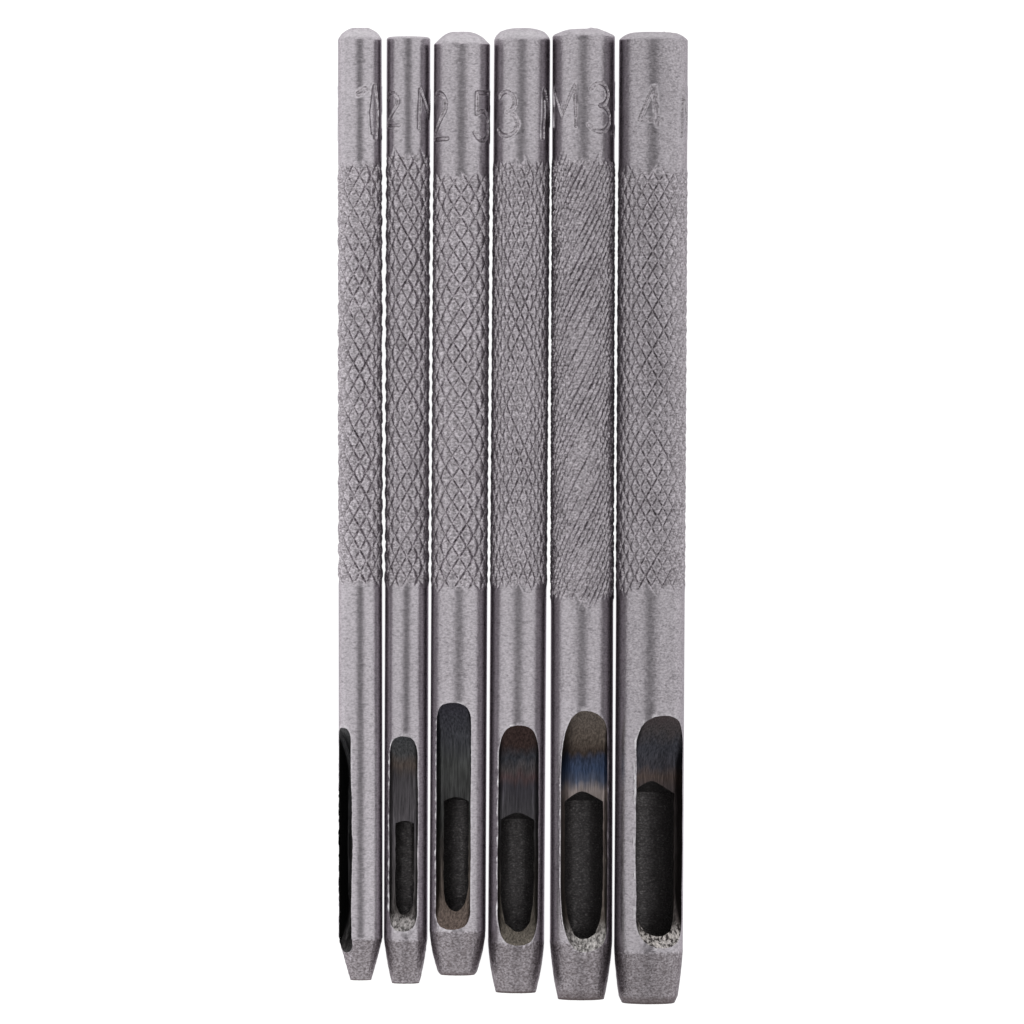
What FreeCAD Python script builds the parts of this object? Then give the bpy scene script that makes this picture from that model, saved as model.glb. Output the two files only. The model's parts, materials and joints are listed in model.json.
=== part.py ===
import FreeCAD, Part

import math
import os
from collections import namedtuple

# A graded set of six drive hole punches, lying side by side on a flat surface.
#
# Each punch is one solid piece of steel: a struck head, a stamped grip with a knurled band, a plain
# shank, and a ground nose with a round cutting edge. A bore runs up from the cutting edge, and a slot
# milled into the side of the shank lets the punched-out slugs fall out of it.
#
# Row frame, in millimetres: +Y from the cutting edges to the heads, +X across the row from the smallest
# punch to the largest, +Z up. The origin is under the middle of the row, on the surface it lies on.
# Punch frame: +Y along the punch's own axis, with the cutting edge at y = 0.

Nose = namedtuple("Nose", "rim bevel bevel_length taper_length bulge")
Knurl = namedtuple("Knurl", "start end")
Slot = namedtuple("Slot", "start end width corner facing floor wheel")
Head = namedtuple("Head", "flat dome dome_height shoulder_height shoulder_bulge")
Lie = namedtuple("Lie", "x y lean")
Punch = namedtuple("Punch", "node hole shank length bore_depth nose knurl slot head lie")

# Lengths along a punch are measured from its cutting edge, and widths across it are diameters.
# Nose: edge, back of the edge's bevel, the bevel's length, where the taper ends, how far the taper bows out.
# Slot: where its two ends reach the surface, its width, the radius between its floor and its sides, the
#   way it faces, in degrees from straight up towards +X, the height of its floor over the punch's axis, and
#   the radius of the wheel that milled it, which is left at both of its ends.
# Head: flat top, dome under it, the dome's height, the height of the shoulder down to the shank, and how
#   far the shoulder bows out.
# Lie: where the cutting edge's centre is, and how many degrees the head leans towards +X.
PUNCHES = (
    Punch(
        node="punch_1_5mm", hole=1.5, shank=3.5, length=76.2, bore_depth=12.6,
        nose=Nose(rim=1.66, bevel=1.74, bevel_length=0.12, taper_length=3.4, bulge=0.02),
        knurl=Knurl(start=31.8, end=65.4),
        slot=Slot(start=1.8, end=20.2, width=1.65, corner=0.4, facing=-53, floor=0.3, wheel=8.0),
        head=Head(flat=0.6, dome=2.84, dome_height=0.45, shoulder_height=0.5, shoulder_bulge=0.05),
        lie=Lie(x=-12.13, y=-37.20, lean=-0.06),
    ),
    Punch(
        node="punch_2mm", hole=2.0, shank=3.5, length=75.7, bore_depth=12.8,
        nose=Nose(rim=2.18, bevel=2.30, bevel_length=0.20, taper_length=3.6, bulge=0.05),
        knurl=Knurl(start=32.0, end=66.4),
        slot=Slot(start=4.2, end=19.8, width=2.25, corner=0.5, facing=-8, floor=0.65, wheel=5.0),
        head=Head(flat=3.1, dome=3.3, dome_height=0.04, shoulder_height=0.16, shoulder_bulge=0.03),
        lie=Lie(x=-8.55, y=-37.45, lean=0.18),
    ),
    Punch(
        node="punch_2_5mm", hole=2.5, shank=4.5, length=75.4, bore_depth=13.9,
        nose=Nose(rim=2.74, bevel=3.10, bevel_length=0.22, taper_length=3.6, bulge=0.12),
        knurl=Knurl(start=31.0, end=64.0),
        slot=Slot(start=3.7, end=21.8, width=2.8, corner=0.5, facing=-12, floor=0.7, wheel=5.6),
        head=Head(flat=0.8, dome=4.0, dome_height=0.78, shoulder_height=0.25, shoulder_bulge=0.02),
        lie=Lie(x=-4.40, y=-36.75, lean=0.29),
    ),
    Punch(
        node="punch_3mm", hole=3.0, shank=4.5, length=77.1, bore_depth=13.8,
        nose=Nose(rim=3.20, bevel=3.44, bevel_length=0.50, taper_length=4.2, bulge=0.10),
        knurl=Knurl(start=32.6, end=66.4),
        slot=Slot(start=3.8, end=21.4, width=3.2, corner=0.7, facing=4, floor=0.54, wheel=8.0),
        head=Head(flat=0.8, dome=3.5, dome_height=0.3, shoulder_height=0.72, shoulder_bulge=0.1),
        lie=Lie(x=0.27, y=-38.15, lean=0.39),
    ),
    Punch(
        node="punch_3_5mm", hole=3.5, shank=5.0, length=77.55, bore_depth=15.8,
        nose=Nose(rim=3.68, bevel=3.94, bevel_length=0.60, taper_length=4.7, bulge=0.07),
        knurl=Knurl(start=32.0, end=67.2),
        slot=Slot(start=3.8, end=23.1, width=3.8, corner=0.9, facing=5.5, floor=0.4, wheel=9.0),
        head=Head(flat=0.8, dome=4.7, dome_height=0.45, shoulder_height=0.2, shoulder_bulge=0.03),
        lie=Lie(x=5.48, y=-38.68, lean=0.17),
    ),
    Punch(
        node="punch_4mm", hole=4.0, shank=5.5, length=77.5, bore_depth=16.75,
        nose=Nose(rim=4.20, bevel=4.72, bevel_length=0.55, taper_length=4.2, bulge=0.04),
        knurl=Knurl(start=33.2, end=66.6),
        slot=Slot(start=4.5, end=23.0, width=4.1, corner=0.8, facing=25, floor=0.35, wheel=8.0),
        head=Head(flat=3.0, dome=4.9, dome_height=0.3, shoulder_height=0.3, shoulder_bulge=0.03),
        lie=Lie(x=10.85, y=-38.96, lean=0.32),
    ),
)

DRILL_ANGLE = 118       # the full angle at the point of the drills that made the bores
KNURL_RISE = 0.065      # how far the knurl's crowns stand above the plain shank
KNURL_RUN_IN = 0.3      # the short slope at each end of the knurled band
CLEAR_OF_SHANK = 1.0    # how far the slot's cutting shape stands out of the shank
TOUCHING = 1e-6         # two points this close are at the same place

AXIS = FreeCAD.Vector(0, 1, 0)
ORIGIN = FreeCAD.Vector(0, 0, 0)
UP = FreeCAD.Vector(0, 0, 1)


def at(radius, along):
    """A point of a half profile, beside the punch's axis."""
    return FreeCAD.Vector(radius, along, 0)


def straight(start, end):
    return Part.LineSegment(start, end).toShape()


def bowed(start, end, bulge):
    """An arc from start to end that bows away from the axis by bulge at its middle."""
    along = end - start
    outward = FreeCAD.Vector(abs(along.y), -along.x * math.copysign(1, along.y), 0)
    outward.normalize()
    middle = (start + end) * 0.5 + outward * bulge
    return Part.Arc(start, middle, end).toShape()


def dome_arc(rim, top):
    """An arc from the dome's rim up to the flat top, level where it meets the top."""
    width = rim.x - top.x
    height = top.y - rim.y
    radius = (width**2 + height**2) / (2 * height)
    half_turn = math.asin(width / radius) / 2
    middle = at(top.x + radius * math.sin(half_turn), top.y - radius * (1 - math.cos(half_turn)))
    return Part.Arc(rim, middle, top).toShape()


def crown_radius(punch):
    """Radius over the knurl, which is what the punch rests on."""
    return punch.shank / 2 + KNURL_RISE


def blank(punch):
    """The turned outside of a punch, before it is bored and slotted."""
    nose, knurl, head = punch.nose, punch.knurl, punch.head
    shank = punch.shank / 2
    crown = crown_radius(punch)
    edge = at(nose.rim / 2, 0)
    bevel = at(nose.bevel / 2, nose.bevel_length)
    taper_end = at(shank, nose.taper_length)
    knurl_points = [
        at(shank, knurl.start),
        at(crown, knurl.start + KNURL_RUN_IN),
        at(crown, knurl.end - KNURL_RUN_IN),
        at(shank, knurl.end),
    ]
    dome_rim = at(head.dome / 2, punch.length - head.dome_height)
    shoulder = at(shank, dome_rim.y - head.shoulder_height)
    flat_rim = at(head.flat / 2, punch.length)

    corners = [taper_end, *knurl_points, shoulder]
    edges = [straight(at(0, 0), edge), straight(edge, bevel), bowed(bevel, taper_end, nose.bulge)]
    edges += [straight(start, end) for start, end in zip(corners, corners[1:])]
    edges += [
        bowed(shoulder, dome_rim, head.shoulder_bulge),
        dome_arc(dome_rim, flat_rim),
        straight(flat_rim, at(0, punch.length)),
        straight(at(0, punch.length), at(0, 0)),
    ]
    return Part.Face(Part.Wire(edges)).revolve(ORIGIN, AXIS, 360)


def bore(punch):
    """The drilled hole, with the drill's cone at its blind end."""
    radius = punch.hole / 2
    cone = radius / math.tan(math.radians(DRILL_ANGLE / 2))
    corners = [at(0, 0), at(radius, 0), at(radius, punch.bore_depth), at(0, punch.bore_depth + cone)]
    edges = [straight(start, end) for start, end in zip(corners, corners[1:] + corners[:1])]
    return Part.Face(Part.Wire(edges)).revolve(ORIGIN, AXIS, 360)


def run_out(slot, height):
    """How far along the punch the milling wheel's arc takes to rise this far above the axis."""
    return math.sqrt(slot.wheel**2 - (slot.wheel + slot.floor - height) ** 2)


def slot_floor(punch):
    """Where the flat floor of the slot starts and ends along the punch."""
    reach = run_out(punch.slot, punch.shank / 2)
    return punch.slot.start + reach, punch.slot.end - reach


def floor_side_edges(cutter, half_width, top):
    """The edges of the slot's cutting shape that run along its floor and up its two run-outs."""
    def beside_floor(edge):
        ends = [vertex.Point for vertex in edge.Vertexes]
        on_side = all(abs(abs(end.x) - half_width) < TOUCHING for end in ends)
        along = abs(ends[0].y - ends[1].y) > half_width
        at_top = all(end.z > top / 2 for end in ends)
        return on_side and along and not at_top

    return [edge for edge in cutter.Edges if beside_floor(edge)]


def milled_slot(punch):
    """The milled slot: a flat floor that runs out along the milling wheel's arc at both ends."""
    slot = punch.slot
    floor_start, floor_end = slot_floor(punch)
    top = punch.shank / 2 + CLEAR_OF_SHANK
    half_width = slot.width / 2

    def corner(along, height):
        return FreeCAD.Vector(-half_width, along, height)

    def arc(floor_at, way):
        half_height = (top + slot.floor) / 2
        low = corner(floor_at, slot.floor)
        middle = corner(floor_at + way * run_out(slot, half_height), half_height)
        high = corner(floor_at + way * run_out(slot, top), top)
        return Part.Arc(low, middle, high).toShape(), high

    near_arc, near_top = arc(floor_start, -1)
    far_arc, far_top = arc(floor_end, 1)
    floor = straight(corner(floor_start, slot.floor), corner(floor_end, slot.floor))
    outline = Part.Wire(Part.__sortEdges__([near_arc, floor, far_arc, straight(far_top, near_top)]))
    cutter = Part.Face(outline).extrude(FreeCAD.Vector(slot.width, 0, 0))
    cutter = cutter.makeFillet(slot.corner, floor_side_edges(cutter, half_width, top))
    cutter.rotate(ORIGIN, AXIS, slot.facing)
    return cutter


def lay_down(shape, punch):
    """Moves a shape from the punch's frame to its place in the row."""
    shape.rotate(ORIGIN, UP, -punch.lie.lean)
    shape.translate(FreeCAD.Vector(punch.lie.x, punch.lie.y, crown_radius(punch)))
    return shape


def make_punch(punch):
    return lay_down(blank(punch).cut(bore(punch)).cut(milled_slot(punch)), punch)


def centre_row(solids):
    """Moves the whole row sideways so that the origin is under its middle, and returns the move."""
    box = Part.Compound(solids).optimalBoundingBox(False)
    move = FreeCAD.Vector(-box.Center.x, -box.Center.y, 0)
    for solid in solids:
        solid.translate(move)
    return move


def report(solids, move):
    """Prints what the record needs: each cutting edge, its axis and its round wall, and the gaps."""
    for punch, solid in zip(PUNCHES, solids):
        edge = FreeCAD.Vector(punch.lie.x, punch.lie.y, crown_radius(punch)) + move
        lean = math.radians(punch.lie.lean)
        wall = slot_floor(punch)[0] - run_out(punch.slot, punch.hole / 2)
        head = edge + FreeCAD.Vector(math.sin(lean), math.cos(lean), 0) * punch.length
        print(f"{punch.node}: edge {edge.x:.8f} {edge.y:.8f} {edge.z:.8f}, "
              f"head {head.x:.8f} {head.y:.8f}, "
              f"axis out of the bore {-math.sin(lean):.12f} {-math.cos(lean):.12f} 0, "
              f"round wall {wall:.2f}, volume {solid.Volume:.1f}, valid {solid.isValid()}")
    for first, second in zip(range(len(solids)), range(1, len(solids))):
        gap = solids[first].distToShape(solids[second])[0]
        print(f"gap {PUNCHES[first].node} to {PUNCHES[second].node}: {gap:.3f}")
    box = Part.Compound(solids).optimalBoundingBox(False)
    print(f"row x {box.XMin:.4f} to {box.XMax:.4f}, y {box.YMin:.4f} to {box.YMax:.4f}, "
          f"z {box.ZMin:.4f} to {box.ZMax:.4f}")


def main():
    os.makedirs("parts", exist_ok=True)
    solids = [make_punch(punch) for punch in PUNCHES]
    move = centre_row(solids)
    for punch, solid in zip(PUNCHES, solids):
        solid.exportStep(f"parts/{punch.node}.step")
    report(solids, move)


main()
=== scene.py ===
import json
import math
from collections import namedtuple

import bpy
import numpy as np
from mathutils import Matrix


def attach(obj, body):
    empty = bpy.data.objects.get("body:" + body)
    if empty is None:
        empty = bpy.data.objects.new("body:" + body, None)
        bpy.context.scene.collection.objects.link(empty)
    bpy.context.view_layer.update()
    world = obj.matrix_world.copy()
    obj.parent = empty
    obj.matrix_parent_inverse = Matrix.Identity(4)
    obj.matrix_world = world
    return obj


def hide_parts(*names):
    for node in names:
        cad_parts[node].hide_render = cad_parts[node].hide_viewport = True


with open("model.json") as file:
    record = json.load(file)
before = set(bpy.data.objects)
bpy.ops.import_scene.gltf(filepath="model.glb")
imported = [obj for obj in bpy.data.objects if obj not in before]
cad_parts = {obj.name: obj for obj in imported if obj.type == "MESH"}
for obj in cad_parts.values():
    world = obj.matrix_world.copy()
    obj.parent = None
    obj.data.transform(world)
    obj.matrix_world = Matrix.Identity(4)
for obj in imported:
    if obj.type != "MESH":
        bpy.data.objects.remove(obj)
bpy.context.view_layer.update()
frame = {"record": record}

# The looks of a graded set of six steel drive punches. Each CAD solid is replaced by one closed mesh with
# the real knurl, size stamp, struck head, ground nose, slot and bore. A punch is built in its own frame,
# in millimetres: "along" runs from the cutting edge to the head, and a turn around the axis is 0 straight
# up and grows towards the right, seen from above with the head at the top.

MM = 0.001

Nose = namedtuple("Nose", "rim bevel bevel_length taper_length bulge rough rings bevel_grime")
Knurl = namedtuple("Knurl", "start end starts period cuts rise depth rough overrun")
Slot = namedtuple("Slot", "start end width left_corner right_corner facing floor wheel burr swell torn")
Head = namedtuple("Head", "flat dome dome_height shoulder_height shoulder_bulge rough chipped")
Mark = namedtuple("Mark", "glyph turn width height drop stroke", defaults=(0.17,))
Punch = namedtuple("Punch", "size shank length bore_depth nose knurl slot head marks shade grit temper seed")

# Lengths are from the cutting edge, widths across are diameters, as in the CAD part.
# Nose: rough and rings are the heights of its ground grain and turned rings, and bevel_grime is how dark
#   its bevel is, from 0 to 1.
# Knurl: starts is how many diamonds there are around it, period the length of one diamond, and cuts how
#   many grooves the wheel cut per start. rise is the height of the diamonds, depth how deep the grooves
#   between them are cut, rough the height of their grain, and overrun how far stray grooves run on.
# Slot: the corners are the radii between its floor and its sides, and facing is the way it faces, in
#   degrees from straight up. floor is its floor's height over the axis, wheel the radius of the wheel that
#   milled it, burr the height of the lip along its edges, swell how far its sides bow out, and torn how
#   rough its tip end is.
# Head: rough is the height of its grain, and chipped the turn where its rim is broken.
# Mark: where a stamped figure is, in degrees of turn and in millimetres down from the head, and half the
#   width of its stroke.
# Shade: how bright its steel is, next to the others. Grit: how gritty its plain steel is.
# Temper: the slot's heat colours, from its head end (0) to its tip end (1).
PUNCHES = (
    Punch(
        size="1_5mm", shank=3.5, length=76.2, bore_depth=12.6, seed=11, shade=1.07, grit=0.0,
        nose=Nose(1.66, 1.74, 0.12, 3.4, 0.02, rough=0.008, rings=0.010, bevel_grime=0.5),
        knurl=Knurl(31.8, 65.2, 10, 1.76, cuts=1, rise=0.130, depth=0.085, rough=0.058, overrun=0.3),
        slot=Slot(1.8, 20.2, 1.65, 0.4, 0.4, facing=-53, floor=0.3, wheel=8.0,
                  burr=0.07, swell=0.10, torn=0.4),
        head=Head(0.6, 2.84, 0.45, 0.5, 0.05, rough=0.035, chipped=None),
        marks=(
            Mark("1", 25, 1.9, 4.0, 4.8, stroke=0.22), Mark(".", 78, 0.6, 4.0, 4.9),
            Mark("5", 118, 1.7, 4.0, 4.9), Mark("M", 185, 1.7, 4.0, 4.9), Mark("M", 250, 1.7, 4.0, 4.9),
        ),
        temper=((0.0, (0.034, 0.034, 0.036)), (1.0, (0.032, 0.030, 0.030))),
    ),
    Punch(
        size="2mm", shank=3.5, length=75.7, bore_depth=12.8, seed=22, shade=1.02, grit=0.0,
        nose=Nose(2.18, 2.30, 0.20, 3.6, 0.05, rough=0.018, rings=0.0, bevel_grime=0.3),
        knurl=Knurl(32.0, 66.2, 10, 1.71, cuts=1, rise=0.140, depth=0.080, rough=0.024, overrun=0.5),
        slot=Slot(4.2, 19.8, 2.25, 0.5, 0.5, facing=-8, floor=0.65, wheel=5.0,
                  burr=0.07, swell=0.03, torn=0.6),
        head=Head(3.1, 3.3, 0.04, 0.16, 0.03, rough=0.004, chipped=None),
        marks=(
            Mark("2", -48, 1.6, 2.65, 4.5, stroke=0.13), Mark("M", 68, 2.4, 3.1, 4.25, stroke=0.15),
            Mark("M", 150, 2.4, 3.2, 4.2),
        ),
        temper=(
            (0.00, (0.050, 0.052, 0.056)), (0.09, (0.056, 0.056, 0.058)), (0.15, (0.088, 0.070, 0.062)),
            (0.22, (0.080, 0.074, 0.080)), (0.45, (0.104, 0.096, 0.104)), (0.91, (0.070, 0.064, 0.062)),
            (0.95, (0.240, 0.225, 0.220)), (1.00, (0.300, 0.285, 0.280)),
        ),
    ),
    Punch(
        size="2_5mm", shank=4.5, length=75.4, bore_depth=13.9, seed=33, shade=1.03, grit=0.05,
        nose=Nose(2.74, 3.10, 0.22, 3.6, 0.12, rough=0.014, rings=0.0, bevel_grime=0.8),
        knurl=Knurl(31.0, 63.8, 11, 1.81, cuts=1, rise=0.145, depth=0.080, rough=0.020, overrun=0.3),
        slot=Slot(3.7, 21.8, 2.8, 0.5, 0.5, facing=-12, floor=0.7, wheel=5.6,
                  burr=0.06, swell=0.02, torn=0.15),
        head=Head(0.8, 4.0, 0.78, 0.25, 0.02, rough=0.03, chipped=None),
        marks=(
            Mark("2", -53.5, 1.9, 3.75, 4.95), Mark("5", 50, 1.8, 3.8, 4.95),
            Mark("M", 115, 2.4, 3.8, 4.9), Mark("M", 185, 2.4, 3.8, 4.9),
        ),
        temper=(
            (0.00, (0.036, 0.034, 0.044)), (0.08, (0.040, 0.040, 0.048)), (0.18, (0.054, 0.055, 0.062)),
            (0.28, (0.066, 0.068, 0.066)), (0.40, (0.058, 0.058, 0.058)), (0.55, (0.048, 0.048, 0.046)),
            (0.88, (0.110, 0.088, 0.076)), (1.00, (0.160, 0.122, 0.106)),
        ),
    ),
    Punch(
        size="3mm", shank=4.5, length=77.1, bore_depth=13.8, seed=44, shade=1.0, grit=0.04,
        nose=Nose(3.20, 3.44, 0.50, 4.2, 0.10, rough=0.014, rings=0.0, bevel_grime=0.55),
        knurl=Knurl(32.6, 66.2, 18, 1.64, cuts=1, rise=0.105, depth=0.072, rough=0.014, overrun=0.6),
        slot=Slot(3.8, 21.4, 3.2, 0.7, 0.7, facing=4, floor=0.54, wheel=8.0,
                  burr=0.06, swell=0.02, torn=0.2),
        head=Head(0.8, 3.5, 0.3, 0.72, 0.1, rough=0.02, chipped=None),
        marks=(
            Mark("3", -31, 1.9, 3.5, 5.2), Mark("M", 80, 2.4, 3.8, 5.0), Mark("M", 152, 2.4, 3.8, 5.0),
        ),
        temper=(
            (0.00, (0.040, 0.026, 0.024)), (0.09, (0.038, 0.025, 0.023)), (0.15, (0.034, 0.036, 0.043)),
            (0.20, (0.072, 0.064, 0.066)), (0.24, (0.088, 0.060, 0.062)), (0.28, (0.060, 0.056, 0.066)),
            (0.40, (0.076, 0.072, 0.078)), (0.88, (0.078, 0.068, 0.058)), (1.00, (0.150, 0.132, 0.112)),
        ),
    ),
    Punch(
        size="3_5mm", shank=5.0, length=77.55, bore_depth=15.8, seed=55, shade=0.98, grit=0.05,
        nose=Nose(3.68, 3.94, 0.60, 4.7, 0.07, rough=0.012, rings=0.0, bevel_grime=0.75),
        knurl=Knurl(32.0, 66.9, 17, 1.73, cuts=2, rise=0.080, depth=0.085, rough=0.060, overrun=0.8),
        slot=Slot(3.8, 23.1, 3.8, 1.75, 0.4, facing=5.5, floor=0.4, wheel=9.0,
                  burr=0.09, swell=0.02, torn=0.6),
        head=Head(0.8, 4.7, 0.45, 0.2, 0.03, rough=0.02, chipped=42),
        marks=(
            Mark("M", -43, 2.5, 3.3, 4.6, stroke=0.13), Mark("3", 32.7, 2.1, 3.85, 4.45),
            Mark(".", 68, 0.6, 4.1, 4.45),
            Mark("5", 106, 2.0, 4.1, 4.45), Mark("M", 175, 2.3, 3.4, 4.4),
        ),
        temper=(
            (0.00, (0.116, 0.098, 0.086)), (0.12, (0.092, 0.074, 0.062)), (0.17, (0.050, 0.038, 0.032)),
            (0.20, (0.034, 0.042, 0.068)), (0.25, (0.046, 0.066, 0.118)), (0.29, (0.090, 0.105, 0.150)),
            (0.33, (0.300, 0.258, 0.246)), (0.42, (0.216, 0.180, 0.166)), (0.86, (0.100, 0.086, 0.076)),
            (0.93, (0.290, 0.275, 0.265)), (1.00, (0.350, 0.335, 0.325)),
        ),
    ),
    Punch(
        size="4mm", shank=5.5, length=77.5, bore_depth=16.75, seed=66, shade=0.88, grit=0.06,
        nose=Nose(4.20, 4.72, 0.55, 4.2, 0.04, rough=0.010, rings=0.0, bevel_grime=0.8),
        knurl=Knurl(33.2, 66.4, 18, 1.57, cuts=1, rise=0.110, depth=0.070, rough=0.016, overrun=0.6),
        slot=Slot(4.5, 23.0, 4.1, 0.8, 0.8, facing=25, floor=0.35, wheel=8.0,
                  burr=0.10, swell=0.02, torn=0.9),
        head=Head(3.0, 4.9, 0.3, 0.3, 0.03, rough=0.010, chipped=30),
        marks=(
            Mark("4", -5.4, 1.9, 3.0, 4.5, stroke=0.16), Mark("M", 77, 2.1, 3.9, 4.4),
            Mark("M", 132, 2.1, 3.9, 4.4),
        ),
        temper=(
            (0.00, (0.056, 0.044, 0.046)), (0.07, (0.052, 0.046, 0.048)), (0.14, (0.042, 0.043, 0.052)),
            (0.22, (0.048, 0.046, 0.054)), (0.27, (0.085, 0.064, 0.058)), (0.32, (0.062, 0.052, 0.052)),
            (0.88, (0.060, 0.052, 0.050)), (0.94, (0.270, 0.250, 0.240)), (1.00, (0.300, 0.280, 0.270)),
        ),
    ),
)

DRILL_ANGLE = 118           # the full angle at the point of the drills that made the bores
GROOVE_HALF_WIDTH = 0.12    # half the width of one knurl groove, across it
GRIP_STEP = 0.082           # the spacing of the stamped grip's mesh
SLOT_STEP = 0.165           # the spacing of the rings beside the slot
STAMP_DEPTH = 0.09
STAMP_LIP = 0.04            # how high a stamp pushes up the steel beside it
KNURL_CROWN = 0.065         # the knurl's crowns over the plain shank
CLEAR_OF_SHANK = 1.0        # how far a slot's cutting shape stands out of the shank
WALL_ROWS = 8               # the rows of quads on each side of a slot's cutting shape

STEEL, SLOT_STEEL, BORE_STEEL = range(3)    # the material slots of every punch mesh


# ---- random relief -------------------------------------------------------------------------------------

def relief(turn, along, around, cell, seed):
    """Smooth random heights from -1 to 1 over a punch's surface, with this many cells around it.
    turn is in radians, and cell is the length of one cell along the punch, in millimetres."""
    rows = 2 + math.ceil((np.max(along) - np.min(along)) / cell)
    heights = np.random.default_rng(seed).uniform(-1, 1, (rows + 1, around))
    u = (turn / (2 * math.pi)) % 1 * around
    v = (along - np.min(along)) / cell
    column = np.floor(u).astype(int)
    row = np.floor(v).astype(int)
    u = u - column
    v = v - row
    u = u * u * (3 - 2 * u)
    v = v * v * (3 - 2 * v)
    left, right = column % around, (column + 1) % around
    low = heights[row, left] * (1 - u) + heights[row, right] * u
    high = heights[row + 1, left] * (1 - u) + heights[row + 1, right] * u
    return low * (1 - v) + high * v


def grain(turn, along, radius, size, seed):
    """Two layers of relief, the second half as large and half as high as the first."""
    around = max(3, round(2 * math.pi * radius / size))
    coarse = relief(turn, along, around, size, seed)
    return coarse + 0.5 * relief(turn, along, 2 * around, size / 2, seed + 1)


# ---- a closed skin, built ring by ring -----------------------------------------------------------------

class Skin:
    """Points and faces of a closed surface around the punch's axis, added from its tip to its head."""

    def __init__(self):
        self.points = []
        self.grime = []
        self.faces = []
        self.count = 0
        self.edge = None

    def add_points(self, turn, along, radius, grime):
        """Adds points and returns their numbers, in the shape of turn."""
        turn, along, radius, grime = np.broadcast_arrays(turn, along, radius, grime)
        self.points.append(np.stack(
            [radius * np.sin(turn), along, radius * np.cos(turn)], axis=-1).reshape(-1, 3))
        self.grime.append(grime.reshape(-1))
        numbers = np.arange(turn.size).reshape(turn.shape) + self.count
        self.count += turn.size
        return numbers

    def add_grid(self, numbers, turn):
        """Quads between neighbouring rows of point numbers, joined to the surface so far."""
        after = np.roll(numbers, -1, axis=1)
        quads = np.stack([numbers[:-1], after[:-1], after[1:], numbers[1:]], axis=-1)
        self.faces.extend(quads.reshape(-1, 4).tolist())
        self.join(numbers[0], turn)
        self.edge = (numbers[-1], turn)

    def join(self, ring, turn):
        """Triangles between the open edge of the surface and the first ring of what comes next."""
        if self.edge is None:
            return
        low, low_turn = self.edge
        low, low_turn = from_first_turn(low, low_turn)
        high, high_turn = from_first_turn(ring, turn)
        at_low, at_high = 0, 0
        while at_low < len(low) or at_high < len(high):
            low_now, high_now = low[at_low % len(low)], high[at_high % len(high)]
            low_next, high_next = at_low + 1, at_high + 1
            low_first = full_turn(low_turn, low_next) < full_turn(high_turn, high_next)
            if at_high >= len(high) or (low_first and at_low < len(low)):
                self.faces.append([int(low_now), int(low[low_next % len(low)]), int(high_now)])
                at_low = low_next
            else:
                self.faces.append([int(low_now), int(high[high_next % len(high)]), int(high_now)])
                at_high = high_next

    def cap(self, along, at_tip=False):
        """Closes the open edge, or the first ring, with triangles to a point on the axis."""
        centre = int(self.add_points(np.zeros(1), np.full(1, along), 0.0, 0.0)[0])
        ring = [int(n) for n in self.edge[0]]
        pairs = zip(ring, ring[1:] + ring[:1])
        self.faces.extend([b, a, centre] if at_tip else [a, b, centre] for a, b in pairs)


def from_first_turn(ring, turn):
    """The same ring, started at its smallest turn."""
    turn = turn % (2 * math.pi)
    first = int(np.argmin(turn))
    return np.roll(ring, -first), np.roll(turn, -first)


def full_turn(turn, n):
    """The turn of the nth point of a ring, counting on past a full circle."""
    return turn[n % len(turn)] + 2 * math.pi * (n // len(turn))


def even_turns(count):
    return np.arange(count) * (2 * math.pi / count)


def turns_dense_around(centre, half_width, dense, sparse):
    """Turns spaced closely for half_width to both sides of centre, and widely on the rest."""
    near = np.linspace(-half_width, half_width, dense, endpoint=False)
    far = np.linspace(half_width, 2 * math.pi - half_width, sparse, endpoint=False)
    return (np.concatenate([near, far]) + centre) % (2 * math.pi)


def add_rings(skin, turn, meridian, lift=None, grime=None):
    """Adds rings along a meridian of (radius, along) points, lifted along the surface's own normal."""
    meridian = np.asarray(meridian, dtype=float)
    tangent = np.gradient(meridian, axis=0)
    tangent /= np.linalg.norm(tangent, axis=1, keepdims=True)
    order = np.argsort(turn % (2 * math.pi))
    turn = (turn % (2 * math.pi))[order]
    turns, radius = np.meshgrid(turn, meridian[:, 0])
    along = np.broadcast_to(meridian[:, 1:], turns.shape)
    height = lift(turns, along) if lift else np.zeros(turns.shape)
    dirt = grime(turns, along) if grime else np.zeros(turns.shape)
    numbers = skin.add_points(
        turns, along - height * tangent[:, :1], radius + height * tangent[:, 1:], dirt)
    skin.add_grid(numbers, turn)


# ---- the punch's outline -------------------------------------------------------------------------------

def nose_meridian(nose, shank):
    """The ground nose from its cutting edge back to the shank."""
    rim, bevel, shank_radius = nose.rim / 2, nose.bevel / 2, shank / 2
    edge = [(rim * 0.5, 0), (rim - 0.02, 0), (rim, 0.015)]
    bevel_along = np.linspace(0.05, nose.bevel_length, 4)
    bevels = [(rim + (bevel - rim) * a / nose.bevel_length, a) for a in bevel_along]
    steps = np.linspace(0, 1, 26)[1:]
    taper = [(
        bevel + (shank_radius - bevel) * t + 4 * nose.bulge * t * (1 - t),
        nose.bevel_length + (nose.taper_length - nose.bevel_length) * t,
    ) for t in steps]
    return edge + bevels + taper


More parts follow.
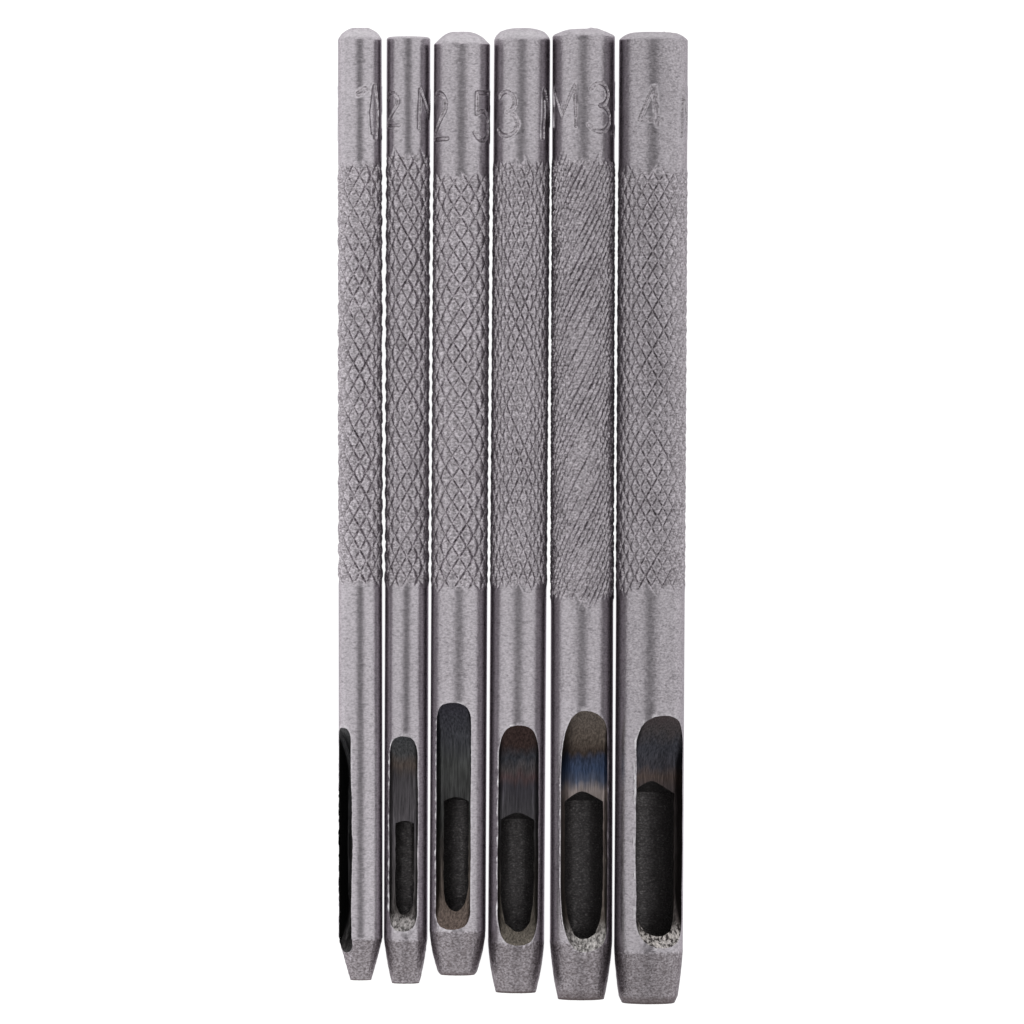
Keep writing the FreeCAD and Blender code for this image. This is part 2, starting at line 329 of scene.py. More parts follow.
def head_meridian(head, shank, length):
    """The struck head from the shank over its shoulder and dome to the middle of its flat top."""
    dome, flat = head.dome / 2, head.flat / 2
    dome_base = length - head.dome_height
    shoulder_base = dome_base - head.shoulder_height
    width = dome - flat
    arc_radius = (width**2 + head.dome_height**2) / (2 * head.dome_height)
    full = math.asin(min(1, width / arc_radius))
    shoulder = [(
        shank / 2 + (dome - shank / 2) * t + 4 * head.shoulder_bulge * t * (1 - t),
        shoulder_base + head.shoulder_height * t,
    ) for t in np.linspace(0, 1, 8)]
    arc = [(flat + arc_radius * math.sin(a), length - arc_radius * (1 - math.cos(a)))
           for a in np.linspace(full, 0, 14)[1:]]
    top = [(flat * t, length) for t in (0.8, 0.6, 0.4, 0.2)]
    before = [(shank / 2, shoulder_base - d) for d in (0.5, 0.25, 0.1)]
    return before + shoulder + arc + top


def straight_meridian(radius, start, end, step):
    count = max(2, round((end - start) / step) + 1)
    return [(radius, along) for along in np.linspace(start, end, count)]


# ---- slot and bore -------------------------------------------------------------------------------------

def run_out(slot, height):
    """How far along the punch the milling wheel's arc takes to rise this far above the axis."""
    return math.sqrt(slot.wheel**2 - (slot.wheel + slot.floor - height) ** 2)


def slot_floor(punch):
    """Where the flat part of the slot's floor starts and ends."""
    reach = run_out(punch.slot, punch.shank / 2)
    return punch.slot.start + reach, punch.slot.end - reach


def floor_height(punch, across, along):
    """The height of the slot's floor over the axis, and outside the slot's ends the milling wheel's arc."""
    slot = punch.slot
    start, end = slot_floor(punch)
    beyond = np.maximum(0, np.maximum(start - along, along - end))
    beyond = np.minimum(beyond, slot.wheel * 0.98)
    arc = slot.wheel - np.sqrt(slot.wheel**2 - beyond**2)
    corner = np.where(across < 0, slot.left_corner, slot.right_corner)
    into_corner = np.clip((np.abs(across) - (slot.width / 2 - corner)) / corner, 0, 1)
    return slot.floor + arc + corner * (1 - np.sqrt(1 - into_corner**2))


def beside_slot(punch, turn, along):
    """How far a point of the shank's surface is from the slot's edge, in millimetres, negative inside."""
    local = turn - math.radians(punch.slot.facing)
    across = punch.shank / 2 * np.sin(local)
    height = punch.shank / 2 * np.cos(local)
    aside = np.abs(across) - punch.slot.width / 2
    inside = np.clip(across, -punch.slot.width / 2 * 0.98, punch.slot.width / 2 * 0.98)
    under = floor_height(punch, inside, along) - height
    return np.where(height > 0, np.maximum(aside, under * 0.8), punch.shank)


def slot_cutter(punch):
    """Points and quads of the closed shape that is milled out of the shank."""
    slot = punch.slot
    top = punch.shank / 2 + CLEAR_OF_SHANK
    start, end = slot_floor(punch)
    reach = run_out(slot, top)
    along = np.linspace(start - reach, end + reach, 140)
    half = slot.width / 2
    across = half * np.sin(np.linspace(-math.pi / 2, math.pi / 2, 37))
    alongs, acrosses = np.meshgrid(along, across, indexing="ij")
    floor = floor_height(punch, acrosses * 0.9999, alongs)
    floor += 0.012 * grain(acrosses * 2.2, alongs * 0.15, 2.0, 0.25, punch.seed + 20)
    floor = np.minimum(floor, top + 1)

    wall_steps = np.linspace(0, 1, WALL_ROWS + 1)[1:]
    left = [floor[:, 0] + (top + 1.2 - floor[:, 0]) * t for t in wall_steps]
    right = [floor[:, -1] + (top + 1.2 - floor[:, -1]) * t for t in wall_steps]
    heights = np.stack([*left[::-1], *floor.T, *right], axis=1)
    sides = np.concatenate([np.full(WALL_ROWS, -half), across, np.full(WALL_ROWS, half)])
    widths = np.broadcast_to(sides, heights.shape).copy()
    alongs = np.broadcast_to(along[:, None], heights.shape)
    ragged = slot.burr * (0.2 * grain(heights * 0.9, alongs, 2.0, 0.35, punch.seed + 30)
                          + 0.4 * relief(heights * 0.9, alongs, 5, 1.7, punch.seed + 31))
    swell = slot.swell * np.clip(1 - ((along - (start + end) / 2) / 5.0) ** 2, 0, 1)[:, None]
    widths += (ragged + swell) * np.sign(widths) * (np.abs(widths) > half * 0.97)

    points = np.stack([widths, alongs, heights], axis=-1).reshape(-1, 3)
    return turned(points, math.radians(slot.facing)), trough_faces(*heights.shape)


def trough_faces(rows, columns):
    """Faces of a closed trough whose rows of points each go around three of its sides."""
    numbers = np.arange(rows * columns).reshape(rows, columns)
    quads = np.stack([numbers[:-1, :-1], numbers[:-1, 1:], numbers[1:, 1:], numbers[1:, :-1]], axis=-1)
    faces = quads.reshape(-1, 4)[:, ::-1].tolist()
    faces += [[int(numbers[i, 0]), int(numbers[i, -1]), int(numbers[i + 1, -1]), int(numbers[i + 1, 0])]
              for i in range(rows - 1)]
    faces.append([int(n) for n in numbers[0]])
    faces.append([int(n) for n in numbers[-1][::-1]])
    return faces


def bore_cutter(punch, hole):
    """Points and faces of the drilled bore, with faint drill rings and the drill's cone."""
    radius = hole / 2
    turn = even_turns(56)
    cone = radius / math.tan(math.radians(DRILL_ANGLE / 2))
    along = np.concatenate([[-1.0], np.linspace(-0.02, punch.bore_depth, 60)])
    skin = Skin()
    rings = [(radius * 0.5, -1.0)] + [(radius, a) for a in along]
    rings += [(radius * (1 - t), punch.bore_depth + cone * t) for t in (0.25, 0.5, 0.75, 0.93)]

    def drill_marks(turns, alongs):
        inside = np.clip(alongs / 0.6, 0, 1) * (alongs < punch.bore_depth)
        return inside * (0.012 * relief(turns, alongs, 3, 0.22, punch.seed + 40)
                         + 0.040 * relief(turns, alongs, 16, 0.45, punch.seed + 41))

    add_rings(skin, turn, rings, lift=drill_marks)
    skin.cap(punch.bore_depth + cone)
    skin.edge = (np.arange(len(turn)), turn)
    skin.cap(-1.0, at_tip=True)
    return np.concatenate(skin.points), skin.faces


def turned(points, angle):
    """Points turned around the punch's axis, towards the right."""
    x, y, z = points.T
    return np.stack([x * math.cos(angle) + z * math.sin(angle), y,
                     z * math.cos(angle) - x * math.sin(angle)], axis=1)


# ---- knurl ---------------------------------------------------------------------------------------------

def knurl_knots(punch, spacing):
    """Where the mesh has points across one groove period, from 0 to 1, close together at the grooves."""
    half = GROOVE_HALF_WIDTH / spacing
    if punch.knurl.cuts == 2:
        quarter = [0, half, 0.25, 0.5 - half]
        return np.array(quarter + [0.5 + k for k in quarter])
    side = [0.5 * half, half, 0.5 * half + 0.2]
    middle = [0.5] if punch.knurl.starts > 15 else [0.36, 0.5, 0.64]
    return np.array([0, *side, *middle, *(1 - k for k in reversed(side))])


def groove_strength(punch, line, along, family):
    """How strongly each groove of one family is cut at a place: full in the band, fading past its ends."""
    knurl = punch.knurl
    random = np.random.default_rng(punch.seed + 50 + family)
    over = knurl.overrun * random.uniform(-0.25, 1, (2, knurl.starts))
    which = np.round(line).astype(int) % knurl.starts
    near = along - (knurl.start - over[0][which])
    far = (knurl.end + over[1][which]) - along
    level = random.uniform(0.8, 1.1, knurl.starts)[which]
    return np.clip(np.minimum(near, far) / 0.6 + 0.4, 0, 1) * level


def knurl_mesh_span(knurl):
    """Where the knurl's own mesh starts and ends: whole half periods, a little past the band."""
    margin = knurl.overrun + 0.3 * knurl.period
    half_periods = math.ceil((knurl.end - knurl.start + 2 * margin) / (knurl.period / 2))
    middle = (knurl.start + knurl.end) / 2
    reach = half_periods * knurl.period / 4
    return middle - reach, middle + reach, half_periods


def add_knurl(skin, punch):
    """Two crossed families of helical grooves around pillow-shaped diamonds, on a mesh whose edges follow
    the grooves."""
    knurl, radius = punch.knurl, punch.shank / 2
    pitch = 2 * math.pi * radius / knurl.starts
    spacing = pitch * math.cos(math.atan2(pitch, knurl.period))
    knots = knurl_knots(punch, spacing)
    per_start = len(knots)

    def line(n):
        return n // per_start + knots[n % per_start]

    first, _, half_periods = knurl_mesh_span(knurl)
    rows = np.arange(half_periods * per_start + 1)[:, None]
    columns = np.arange(knurl.starts * per_start)[None, :]
    rising = line(columns + 0 * rows)
    falling = line(columns - rows)
    along = first + (rising - falling) * knurl.period / 2
    turn = (rising + falling) * math.pi / knurl.starts

    cut = np.zeros(along.shape)
    pillow = np.ones(along.shape)
    pyramid = np.ones(along.shape)
    for family, lines in enumerate((rising, falling)):
        strength = groove_strength(punch, lines, along, family)
        aside = np.abs(lines - np.round(lines))
        groove = np.clip(1 - aside * spacing / GROOVE_HALF_WIDTH, 0, 1)
        if knurl.cuts == 2:
            strength = strength * (0.55, 1.0)[family]
            between = np.clip(1 - (0.5 - aside) * spacing / GROOVE_HALF_WIDTH, 0, 1)
            groove = np.maximum(groove, 0.7 * between)
            aside = np.minimum(aside, 0.5 - aside) * 2
        cut = np.maximum(cut, groove * strength)
        pillow *= 1 - strength * (1 - 2 * aside) ** 2
        pyramid = np.minimum(pyramid, 1 - strength * (1 - 2 * aside))
    in_band = np.clip(np.minimum(along - knurl.start, knurl.end - along) / 0.5 + 0.5, 0, 1)
    worn = 1 + 0.35 * relief(turn, along, 7, 2.5, punch.seed + 60)
    diamond = KNURL_CROWN - knurl.rise * (1 - 0.5 * pillow - 0.5 * pyramid)
    lift = diamond * in_band - knurl.depth * cut * worn
    lift += knurl.rough * in_band * grain(turn, along, radius, 0.3, punch.seed + 70)
    lift = np.minimum(lift, KNURL_CROWN)
    # The whole band a little darker and gritty, and painted shade in the grooves, darker where they are cut
    # deeper.
    grime = in_band * 0.12 + 0.14 * cut

    numbers = skin.add_points(turn, along, radius + lift, grime)
    after = np.roll(numbers, -1, axis=1)
    diamonds = np.stack([numbers[1:-1], numbers[:-2], after[1:-1], after[2:]], axis=-1)
    skin.faces.extend(diamonds.reshape(-1, 4).tolist())
    skin.faces.extend(np.stack([numbers[0], after[0], after[1]], axis=-1).tolist())
    skin.faces.extend(np.stack([numbers[-1], numbers[-2], after[-1]], axis=-1).tolist())
    skin.join(numbers[0], turn[0])
    skin.edge = (numbers[-1], turn[-1])


# ---- stamped figures -----------------------------------------------------------------------------------

def arc_points(centre_x, centre_y, width, height, start, end, count=12):
    """Points on an ellipse's arc, in degrees, from start to end."""
    angles = np.radians(np.linspace(start, end, count))
    return [(centre_x + width * math.cos(a), centre_y + height * math.sin(a)) for a in angles]


# Plain single-stroke figures in a box from (0, 0) to (1, 1).
GLYPHS = {
    "1": [[(0.05, 0.86), (0.36, 0.96)], [(0.78, 1.0), (0.63, 0.5), (0.70, 0.08)],
          [(0.78, 1.0), (0.91, 0.5), (0.82, 0.0)], [(0.78, 0.8), (0.76, 0.1)]],
    "2": [arc_points(0.5, 0.74, 0.42, 0.26, 165, -35) + [(0.06, 0.0), (1.0, 0.02)]],
    "3": [arc_points(0.45, 0.77, 0.40, 0.23, 150, -75), arc_points(0.46, 0.27, 0.50, 0.27, 88, -150)],
    "4": [[(0.62, 1.0), (0.02, 0.14), (0.98, 0.14)], [(0.66, 1.0), (0.80, 0.0)]],
    "5": [[(0.92, 1.0), (0.12, 1.0), (0.10, 0.56)] + arc_points(0.44, 0.31, 0.50, 0.31, 128, -150)],
    "M": [[(0.0, 0.0), (0.05, 1.0), (0.50, 0.28), (0.95, 1.0), (1.0, 0.0)]],
    ".": [[(0.4, 0.03), (0.6, 0.03)]],
}


def distance_to_stroke(x, y, stroke):
    """The distance from points to a line through the stroke's points."""
    nearest = np.full(x.shape, np.inf)
    for (x0, y0), (x1, y1) in zip(stroke, stroke[1:]):
        dx, dy = x1 - x0, y1 - y0
        t = np.clip(((x - x0) * dx + (y - y0) * dy) / (dx * dx + dy * dy), 0, 1)
        nearest = np.minimum(nearest, np.hypot(x - x0 - t * dx, y - y0 - t * dy))
    return nearest


def beside_stamp(punch, turn, along):
    """The distance from points of the grip to the nearest stamped stroke's middle, as a part of half the
    stroke's width: 1 at the stroke's edge."""
    nearest = np.full(turn.shape, np.inf)
    for mark in punch.marks:
        local = (turn - math.radians(mark.turn) + math.pi) % (2 * math.pi) - math.pi
        x = local * punch.shank / 2 + mark.width / 2
        y = along - (punch.length - mark.drop - mark.height)
        for stroke in GLYPHS[mark.glyph]:
            scaled = [(a * mark.width, b * mark.height) for a, b in stroke]
            nearest = np.minimum(nearest, distance_to_stroke(x, y, scaled) / mark.stroke)
    return nearest


def add_stamped_grip(skin, punch, start, end):
    """The plain grip with round-bottomed stamped strokes, which push up a lip beside them, with painted
    shade on the strokes' walls and a painted highlight on the lips.
    """
    radius = punch.shank / 2

    def lift(turn, along):
        beside = beside_stamp(punch, turn, along)
        uneven = 0.75 + 0.5 * relief(turn, along, 9, 1.3, punch.seed + 80)
        lip = STAMP_LIP * np.exp(-((beside - 1.2) / 0.3) ** 2)
        return lip - STAMP_DEPTH * uneven * np.clip(1 - beside**4, 0, 1)

    # Painted shade on the stamped strokes' walls, and a painted highlight on the lip beside them.
    def grime(turn, along):
        beside = beside_stamp(punch, turn, along)
        return 0.40 * np.exp(-((beside - 0.8) / 0.25) ** 2) - 0.30 * np.exp(-((beside - 1.3) / 0.2) ** 2)

    turn = even_turns(round(2 * math.pi * radius / GRIP_STEP))
    add_rings(skin, turn, straight_meridian(radius, start, end, GRIP_STEP), lift, grime)


# ---- one punch -----------------------------------------------------------------------------------------

def torn_lip(punch, turn, along, back, reach):
    """A ragged lip beside the slot, strongest this far back from its edge, and on its left side."""
    distance = beside_slot(punch, turn, along)
    side = 0.7 - 0.5 * np.sin(turn - math.radians(punch.slot.facing))
    ragged = np.clip(0.35 + 0.9 * grain(turn, along, punch.shank / 2, 0.28, punch.seed + 10), 0, 1.3)
    return side * ragged * np.exp(-((distance - back) / reach) ** 2)


def slot_relief(punch, turn, along):
    return punch.slot.burr * torn_lip(punch, turn, along, 0.09, 0.07)


# Painted highlight: pale steel along the slot's ragged lip, strongest on its left side.
def slot_lip_painted_highlight(punch, turn, along):
    return -0.9 * torn_lip(punch, turn, along, 0.05, 0.08)


def add_nose(skin, punch, turns):
    """The ground nose, from the cutting edge to the plain shank, with the slot's lip and its painted
    highlight where they meet.
    """
    nose, radius = punch.nose, punch.shank / 2

    def lift(turn, along):
        ground = nose.rough * grain(turn, along, radius, 0.22, punch.seed)
        rings = nose.rings * np.sin(along * 2 * math.pi / 0.42)
        return (ground + rings) * np.clip(along / 0.3, 0.35, 1) + slot_relief(punch, turn, along)

    def grime(turn, along):
        patches = 0.5 + 0.10 * grain(turn, along, radius, 0.25, punch.seed + 5)
        on_nose = np.clip((nose.taper_length - along) / 0.25, 0, 1)
        on_bevel = np.clip((nose.bevel_length + 0.05 - along) / 0.1, 0, 1)
        on_rim = np.clip((0.15 - along) / 0.1, 0, 1)
        ground = patches * on_nose * (1 - on_bevel) + nose.bevel_grime * on_bevel
        return np.maximum(ground, on_rim) + slot_lip_painted_highlight(punch, turn, along)

    add_rings(skin, turns, nose_meridian(nose, punch.shank), lift, grime)


def add_slotted_shank(skin, punch, turns, end):
    """The plain shank along the slot, with the slot's ragged lip and a painted highlight along it."""
    start = punch.nose.taper_length + 0.1
    add_rings(skin, turns, straight_meridian(punch.shank / 2, start, end, SLOT_STEP),
              lambda turn, along: slot_relief(punch, turn, along),
              lambda turn, along: slot_lip_painted_highlight(punch, turn, along))


def add_head(skin, punch):
    """The struck head: bright with a painted highlight, grainy on its dome, and broken at the chipped part
    of its rim.
    """
    head, radius = punch.head, punch.shank / 2

    def near_top(along):
        return np.clip((along - (punch.length - head.dome_height - head.shoulder_height)) / 0.3, 0, 1)

    def on_dome(along):
        """1 on the dome, and 0 on the flat top, where grain around the axis would make a star."""
        return np.clip((punch.length - along) / 0.03, 0, 1)

    def lift(turn, along):
        broken = 1.0
        if head.chipped is not None:
            aside = np.abs((np.degrees(turn) - head.chipped + 180) % 360 - 180)
            broken += 6 * np.exp(-(aside / 20) ** 2)
        height = head.rough * broken * near_top(along) * on_dome(along)
        return height * grain(turn, along, radius, 0.35, punch.seed + 90)

    def grime(turn, along):
        # Painted highlight: the head's top paler, speckled on the dome.
        patches = 0.8 + 0.3 * on_dome(along) * grain(turn, along, radius, 0.3, punch.seed + 95)
        return -0.28 * near_top(along) * patches

    add_rings(skin, even_turns(150), head_meridian(head, punch.shank, punch.length), lift, grime)
    skin.cap(punch.length)


def build_skin(punch):
    """The punch's outside, from its tip to its head, with no slot or bore yet."""
    skin = Skin()
    slot_turns = turns_dense_around(math.radians(punch.slot.facing), math.radians(105), 124, 40)
    slot_end = punch.slot.end + 0.8
    knurl_first, knurl_last, _ = knurl_mesh_span(punch.knurl)
    stamp_end = punch.length - min(mark.drop for mark in punch.marks) + 0.5

    add_nose(skin, punch, slot_turns)
    add_slotted_shank(skin, punch, slot_turns, slot_end)
    add_rings(skin, even_turns(120),
              straight_meridian(punch.shank / 2, slot_end + 0.3, knurl_first - 0.2, 0.9))
    add_knurl(skin, punch)
    add_stamped_grip(skin, punch, knurl_last + 0.1, stamp_end)
    add_head(skin, punch)
    skin.edge = (np.arange(len(slot_turns)), np.sort(slot_turns))
    skin.cap(0.0, at_tip=True)

    grime = np.concatenate(skin.grime)
    grime = np.where(grime < 0, grime, np.maximum(grime, punch.grit))
    return np.concatenate(skin.points), skin.faces, grime


def make_object(name, points, faces, material, grime=None):
    mesh = bpy.data.meshes.new(name)
    mesh.from_pydata((points * MM).tolist(), [], faces)
    mesh.polygons.foreach_set("material_index", np.full(len(mesh.polygons), material, dtype=np.int32))
    values = np.zeros(len(points)) if grime is None else grime
    layer = mesh.attributes.new("grime", "FLOAT", "POINT")
    layer.data.foreach_set("value", values.astype(np.float32))
    piece = bpy.data.objects.new(name, mesh)
    bpy.context.scene.collection.objects.link(piece)
    return piece


def cut_away(piece, cutters):
    """Takes the cutters' shapes out of the piece, and removes the cutters."""
    for cutter in cutters:
        modifier = piece.modifiers.new(cutter.name, "BOOLEAN")
        modifier.object = cutter
        modifier.operation = "DIFFERENCE"
        modifier.solver = "MANIFOLD"
    graph = bpy.context.evaluated_depsgraph_get()
    cut = bpy.data.meshes.new_from_object(piece.evaluated_get(graph), preserve_all_data_layers=True,
                                          depsgraph=graph)
    cut.validate()
    piece.modifiers.clear()
    before, piece.data = piece.data, cut
    bpy.data.meshes.remove(before)
    for cutter in cutters:
        bpy.data.meshes.remove(cutter.data)


def place_on_axis(piece, mount):
    """Moves a piece's points from its punch's own frame to the row, by the axis of its bore mount."""
    out = np.array(mount["axis"]) / np.linalg.norm(mount["axis"])
    ahead = -out
    up = np.array([0.0, 0.0, 1.0])
    right = np.cross(ahead, up)
    points = np.empty(len(piece.data.vertices) * 3)
    piece.data.vertices.foreach_get("co", points)
    points = points.reshape(-1, 3)
    placed = np.outer(points[:, 0], right) + np.outer(points[:, 1], ahead) + np.outer(points[:, 2], up)
    piece.data.vertices.foreach_set("co", (placed + np.array(mount["pos_m"])).reshape(-1))
    piece.data.update()


# ---- materials -----------------------------------------------------------------------------------------

class Nodes:
    """A small helper that adds nodes to one material and links them."""

    def __init__(self, name):
        self.material = bpy.data.materials.new(name)
        self.material.use_nodes = True
        self.tree = self.material.node_tree
        self.shader = self.tree.nodes["Principled BSDF"]

    def add(self, kind, **values):
        node = self.tree.nodes.new(kind)
        for key, value in values.items():
            setattr(node, key, value)
        return node

    def link(self, source, target):
        self.tree.links.new(source, target)

    def noise(self, vector, scale, detail=2.0, roughness=0.5):
        node = self.add("ShaderNodeTexNoise")
        node.inputs["Scale"].default_value = scale
        node.inputs["Detail"].default_value = detail
        node.inputs["Roughness"].default_value = roughness
        self.link(vector, node.inputs["Vector"])
        return node.outputs["Fac"]

    def stretched(self, vector, scale):
        node = self.add("ShaderNodeMapping")
        node.inputs["Scale"].default_value = scale
        self.link(vector, node.inputs["Vector"])
        return node.outputs["Vector"]

    def ramp(self, value, stops):
        node = self.add("ShaderNodeValToRGB")
        elements = node.color_ramp.elements
        while len(elements) < len(stops):
            elements.new(0.5)
        for element, (position, colour) in zip(elements, stops):
            element.position = position
            element.color = (*colour, 1.0) if len(colour) == 3 else colour
        self.link(value, node.inputs["Fac"])
        return node.outputs["Color"]

    def mix(self, factor, first, second, blend="MIX"):
        node = self.add("ShaderNodeMix", data_type="RGBA", blend_type=blend)
        if isinstance(factor, float):
            node.inputs["Factor"].default_value = factor
        else:
            self.link(factor, node.inputs["Factor"])
        for name, value in (("A", first), ("B", second)):
            socket = next(s for s in node.inputs if s.name == name and s.type == "RGBA")
            if isinstance(value, tuple):
                socket.default_value = (*value, 1.0)
            else:
                self.link(value, socket)
        return next(s for s in node.outputs if s.type == "RGBA")

    def bump(self, height, strength, distance, normal=None):
        node = self.add("ShaderNodeBump")
        node.inputs["Strength"].default_value = strength
        node.inputs["Distance"].default_value = distance
        self.link(height, node.inputs["Height"])
        if normal:
            self.link(normal, node.inputs["Normal"])
        return node.outputs["Normal"]

    def map_range(self, value, low, high, to_low, to_high):
        node = self.add("ShaderNodeMapRange")
        for name, number in (("From Min", low), ("From Max", high), ("To Min", to_low), ("To Max", to_high)):
            node.inputs[name].default_value = number
        self.link(value, node.inputs["Value"])
        return node.outputs["Result"]

    def object_position(self):
        return self.add("ShaderNodeTexCoord").outputs["Object"]

    def attribute(self, name):
        return self.add("ShaderNodeAttribute", attribute_name=name).outputs["Fac"]


def steel_material(punch):
    """Satin tool steel: fine grain that runs around the bar and faint cloudiness. Where the point attribute
    is positive the steel is gritty, darker and duller: grime on the nose, and painted shade in the knurl
    grooves and the stamped strokes. Where it's negative it is pale and rougher: a painted highlight on the
    head, along the slot's lip and beside the stamps."""
    nodes = Nodes(f"punch_steel_{punch.size}")
    position = nodes.object_position()
    around = nodes.stretched(position, (0.5, 1, 0.5))
    fine = nodes.noise(around, 8200, 2.0, 0.6)
    pits = nodes.noise(around, 3800, 2.0, 0.5)
    clouds = nodes.noise(nodes.stretched(position, (1, 0.25, 1)), 420, 3.0, 0.55)
    grime = nodes.attribute("grime")
    colour = nodes.ramp(clouds, ((0.3, (0.465, 0.434, 0.464)), (0.7, (0.525, 0.491, 0.524))))
    speckle = nodes.ramp(fine, ((0.34, (0.68, 0.68, 0.68)), (0.60, (1.0, 1.0, 1.0))))
    colour = nodes.mix(1.0, colour, speckle, "MULTIPLY")
    pitting = nodes.ramp(pits, ((0.28, (0.72, 0.72, 0.72)), (0.42, (1.0, 1.0, 1.0))))
    colour = nodes.mix(1.0, colour, pitting, "MULTIPLY")
    sand = nodes.noise(nodes.stretched(position, (0.75, 1, 0.75)), 6600, 2.0, 0.6)
    grit = nodes.ramp(sand, ((0.36, (0.56, 0.55, 0.55)), (0.50, (1.0, 1.0, 1.0)),
                             (0.64, (1.45, 1.45, 1.45))))
    gritty = nodes.mix(1.0, colour, grit, "MULTIPLY")
    colour = nodes.mix(nodes.map_range(grime, 0.02, 0.12, 0.0, 1.0), colour, gritty)
    # Darkened towards the grime colour: real grime on the nose, and painted shade in the knurl grooves and
    # on the stamped strokes' walls.
    dirt_and_shade = nodes.map_range(grime, 0.0, 1.0, 0.0, 0.95)
    colour = nodes.mix(dirt_and_shade, colour, (0.080, 0.060, 0.058))
    # Painted highlight: pale steel where the value is negative, on the head, along the slot's lip and beside
    # the stamps.
    colour = nodes.mix(nodes.map_range(grime, 0.0, -1.0, 0.0, 1.0), colour, (0.90, 0.88, 0.90))
    colour = nodes.mix(1.0, colour, (punch.shade, punch.shade, punch.shade), "MULTIPLY")
    nodes.link(colour, nodes.shader.inputs["Base Color"])
    rough = nodes.add("ShaderNodeMath", operation="ADD")
    nodes.link(nodes.map_range(grime, 0.0, 0.2, 0.28, 0.40), rough.inputs[0])
    nodes.link(nodes.map_range(grime, 0.0, -0.5, 0.0, 0.35), rough.inputs[1])
    nodes.link(rough.outputs["Value"], nodes.shader.inputs["Roughness"])
    sandy = nodes.bump(sand, 1.0, 0.00004)
    nodes.link(nodes.map_range(grime, 0.02, 0.12, 0.0, 1.0), sandy.node.inputs["Strength"])
    pitted = nodes.bump(nodes.map_range(pits, 0.25, 0.5, 0.0, 1.0), 0.2, 0.00003, sandy)
    nodes.link(nodes.bump(fine, 0.45, 0.00003, pitted), nodes.shader.inputs["Normal"])
    nodes.shader.inputs["Metallic"].default_value = 1.0
    nodes.shader.inputs["Specular Tint"].default_value = (0.65, 0.62, 0.65, 1.0)
    return nodes.material


def slot_material(punch, mount):
    """Milled steel with heat colours in bands along the slot, and scratches along the cut."""
    nodes = Nodes(f"slot_steel_{punch.size}")
    position = nodes.object_position()
    split = nodes.add("ShaderNodeSeparateXYZ")
    nodes.link(position, split.inputs["Vector"])
    edge = mount["pos_m"][1]
    head_end = edge + punch.slot.end * MM
    tip_end = edge + punch.slot.start * MM
    place = nodes.map_range(split.outputs["Y"], head_end, tip_end, 0.0, 1.0)
    wander = nodes.noise(nodes.stretched(position, (1, 0.25, 1)), 1500, 3.0)
    moved = nodes.add("ShaderNodeMath", operation="ADD")
    nodes.link(place, moved.inputs[0])
    nodes.link(nodes.map_range(wander, 0.2, 0.8, -0.022, 0.022), moved.inputs[1])
    colour = nodes.ramp(moved.outputs["Value"], punch.temper)
    scratches = nodes.noise(nodes.stretched(position, (1, 0.06, 1)), 9000, 3.0, 0.65)
    streaks = nodes.ramp(scratches, ((0.35, (0.55, 0.55, 0.55)), (0.65, (1.25, 1.25, 1.25))))
    colour = nodes.mix(1.0, colour, streaks, "MULTIPLY")
    torn = nodes.noise(nodes.stretched(position, (1, 0.45, 1)), 4200, 2.0, 0.6)
    tears = nodes.ramp(torn, ((0.42, (0.10, 0.09, 0.09)), (0.48, (1.1, 1.1, 1.1)), (0.64, (2.2, 2.2, 2.2))))
    near_tip = nodes.map_range(place, 0.86, 0.92, 0.0, punch.slot.torn)
    colour = nodes.mix(near_tip, colour, nodes.mix(1.0, colour, tears, "MULTIPLY"))
    nodes.link(colour, nodes.shader.inputs["Base Color"])
    nodes.link(nodes.map_range(scratches, 0.3, 0.7, 0.5, 0.34), nodes.shader.inputs["Roughness"])
    nodes.link(nodes.bump(scratches, 0.6, 0.00003), nodes.shader.inputs["Normal"])
    nodes.shader.inputs["Metallic"].default_value = 1.0
    return nodes.material


def shaded_bore_material():
    """The drilled bore: rough and speckled, and dark with painted shade inside it."""
    nodes = Nodes("shaded_bore_steel")
    position = nodes.object_position()
    speckle = nodes.noise(nodes.stretched(position, (1, 1.6, 1)), 5200, 3.0, 0.6)
    colour = nodes.ramp(speckle, ((0.42, (0.046, 0.042, 0.043)), (0.60, (0.085, 0.080, 0.080)),
                                  (0.72, (0.190, 0.180, 0.180))))
    nodes.link(colour, nodes.shader.inputs["Base Color"])
    nodes.link(nodes.map_range(speckle, 0.3, 0.7, 0.50, 0.36), nodes.shader.inputs["Roughness"])
    nodes.link(nodes.bump(speckle, 0.5, 0.00004), nodes.shader.inputs["Normal"])
    nodes.shader.inputs["Metallic"].default_value = 0.8
    return nodes.material


def floor_material():
    nodes = Nodes("white_floor")
    position = nodes.object_position()
    paper = nodes.ramp(nodes.noise(position, 90, 2.0), ((0.3, (0.18, 0.18, 0.18)), (0.7, (0.2, 0.2, 0.2))))
    nodes.link(paper, nodes.shader.inputs["Base Color"])
    nodes.shader.inputs["Roughness"].default_value = 0.9
    nodes.shader.inputs["Emission Color"].default_value = (1.0, 1.0, 1.0, 1.0)
    nodes.shader.inputs["Emission Strength"].default_value = 0.96
    return nodes.material


# ---- the row -------------------------------------------------------------------------------------------

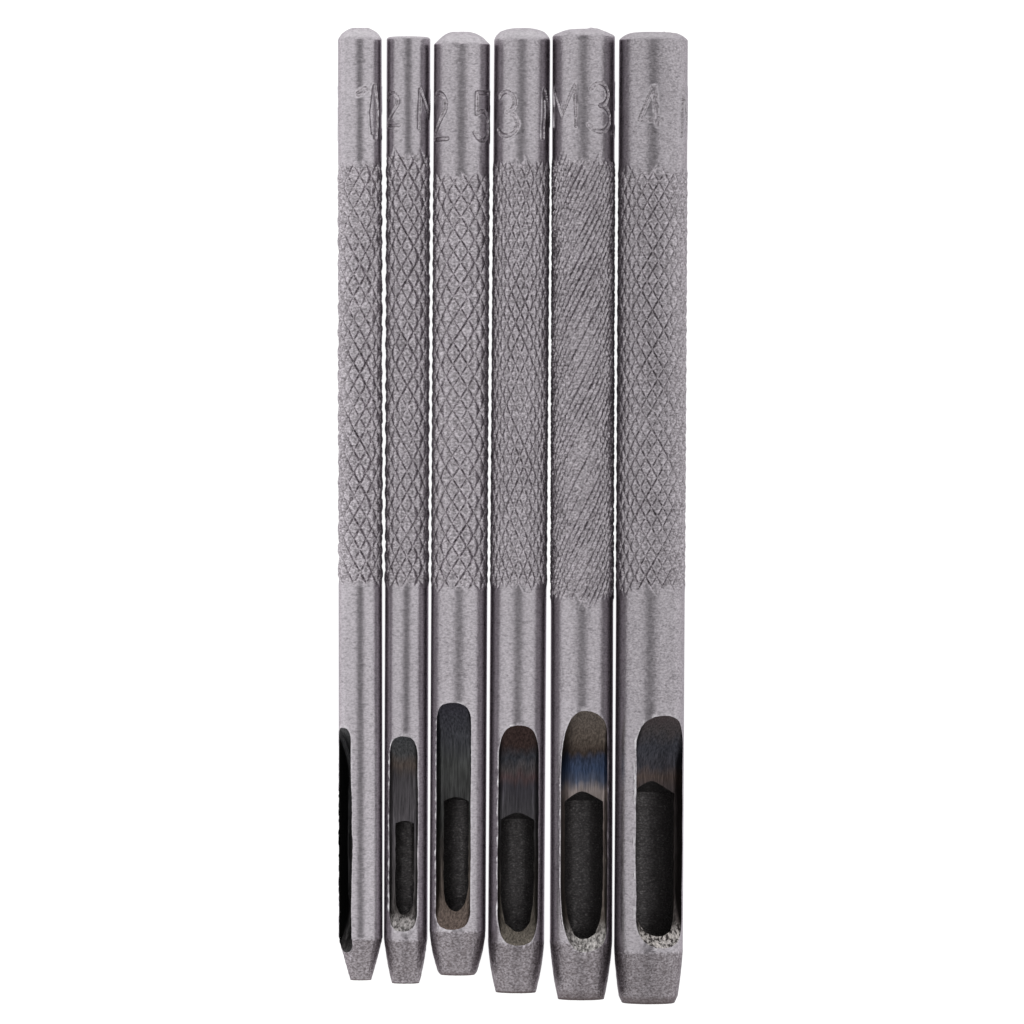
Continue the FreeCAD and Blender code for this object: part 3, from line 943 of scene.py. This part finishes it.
def make_punch(punch, mounts, shaded_bore_steel):
    node = f"punch_{punch.size}"
    mount = mounts[f"bore_{punch.size}"]
    points, faces, grime = build_skin(punch)
    piece = make_object(f"steel_{node}", points, faces, STEEL, grime)
    slot = make_object("slot_cutter", *slot_cutter(punch), SLOT_STEEL)
    bore = make_object("bore_cutter", *bore_cutter(punch, 2 * mount["dims"]["r_mm"]), BORE_STEEL)
    for material in (steel_material(punch), slot_material(punch, mount), shaded_bore_steel):
        for one in (piece, slot, bore):
            one.data.materials.append(material)
    cut_away(piece, (slot, bore))
    place_on_axis(piece, mount)
    piece.data.shade_smooth()
    piece.data.set_sharp_from_angle(angle=math.radians(42))
    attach(piece, node)
    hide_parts(node)
    return piece


def make_floor():
    half = 0.6
    bpy.ops.mesh.primitive_plane_add(size=2 * half, location=(0, 0, 0))
    floor = bpy.context.object
    floor.name = "floor"
    floor.data.materials.append(floor_material())


def make_light():
    """An even white light tent, with a dark gap straight above where the camera looks in."""
    world = bpy.data.worlds.new("tent")
    bpy.context.scene.world = world
    world.use_nodes = True
    tree = world.node_tree
    position = tree.nodes.new("ShaderNodeTexCoord")
    split = tree.nodes.new("ShaderNodeSeparateXYZ")
    ramp = tree.nodes.new("ShaderNodeValToRGB")
    tree.links.new(position.outputs["Generated"], split.inputs["Vector"])
    tree.links.new(split.outputs["Z"], ramp.inputs["Fac"])
    tree.links.new(ramp.outputs["Color"], tree.nodes["Background"].inputs["Color"])
    elements = ramp.color_ramp.elements
    elements[0].position, elements[0].color = 0.915, (1.0, 1.0, 1.0, 1.0)
    elements[1].position, elements[1].color = 0.985, (0.16, 0.155, 0.16, 1.0)
    tree.nodes["Background"].inputs["Strength"].default_value = 1.0


def make_camera():
    """Looks straight down, from so far that the view has almost no perspective."""
    view_width, distance, sensor = 0.08192, 0.600, 36.0
    shank_height = 0.0023
    aim_x, aim_y = -0.00004, 0.00024
    data = bpy.data.cameras.new("camera")
    data.sensor_width = sensor
    data.lens = sensor * distance / view_width
    camera = bpy.data.objects.new("camera", data)
    camera.location = (aim_x, aim_y, distance + shank_height)
    bpy.context.scene.collection.objects.link(camera)
    bpy.context.scene.camera = camera


def main():
    mounts = {mount["name"]: mount for mount in frame["record"]["mounts"]}
    shaded_bore_steel = shaded_bore_material()
    for punch in PUNCHES:
        make_punch(punch, mounts, shaded_bore_steel)
    make_floor()
    make_light()
    make_camera()
    bpy.context.scene.view_settings.view_transform = "Standard"


main()
